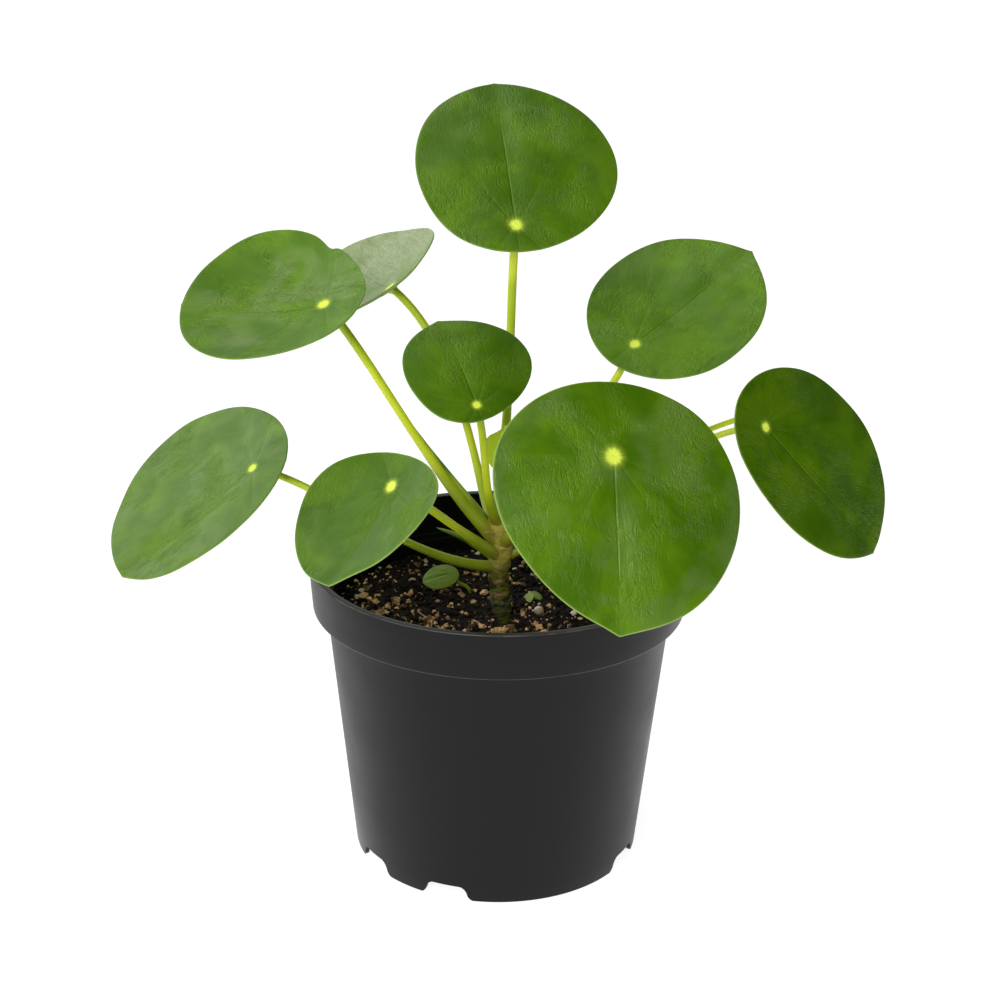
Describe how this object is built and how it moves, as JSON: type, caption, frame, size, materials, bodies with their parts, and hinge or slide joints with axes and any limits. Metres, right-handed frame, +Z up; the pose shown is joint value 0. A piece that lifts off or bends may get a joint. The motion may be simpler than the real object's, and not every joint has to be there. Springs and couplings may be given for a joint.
{
  "type": "potted chinese money plant",
  "caption": "Small potted Chinese money plant: round coin-like leaves on long thin stalks fan out from a short brown stem in a tapered black plastic nursery pot of soil.",
  "frame": {"origin": "on the pot's axis at its bottom edge, on the surface that it stands on", "axes": "+Z up along the pot's axis; -Y the front, towards the largest leaf's side; +X right"},
  "size_m": [0.2166, 0.133, 0.209],
  "materials": {
    "pot": "moulded black plastic, satin, faint turning lines",
    "soil": "dark peat potting mix with tan bark bits and pale perlite, matt",
    "stem": "brown-olive stem with pale leaf scars",
    "leaf": "smooth slightly fleshy green leaf, satin, pale spot over the stalk and pale margin",
    "stalk": "yellow-green leaf stalk, satin",
    "young_leaf": "bright young yellow-green leaf, satin"
  },
  "bodies": {
    "root": {"pot": "pot", "soil": "soil", "main_stem": "stem", "top_leaf_blade": "leaf", "top_leaf_stalk": "stalk", "upper_left_leaf_blade": "leaf", "upper_left_leaf_stalk": "stalk", "back_left_leaf_blade": "leaf", "back_left_leaf_stalk": "stalk", "centre_leaf_blade": "leaf", "centre_leaf_stalk": "stalk", "upper_right_leaf_blade": "leaf", "upper_right_leaf_stalk": "stalk", "front_right_leaf_blade": "leaf", "front_right_leaf_stalk": "stalk", "far_right_leaf_blade": "leaf", "far_right_leaf_stalk": "stalk", "hidden_right_leaf_blade": "leaf", "hidden_right_leaf_stalk": "stalk", "lower_left_leaf_blade": "leaf", "lower_left_leaf_stalk": "stalk", "front_left_leaf_blade": "leaf", "front_left_leaf_stalk": "stalk", "young_leaf_blade": "young_leaf", "young_leaf_stalk": "stalk", "plantlet_leaf_blade": "leaf", "plantlet_leaf_stalk": "stalk", "sprout": "young_leaf"}
  },
  "joints": []
}
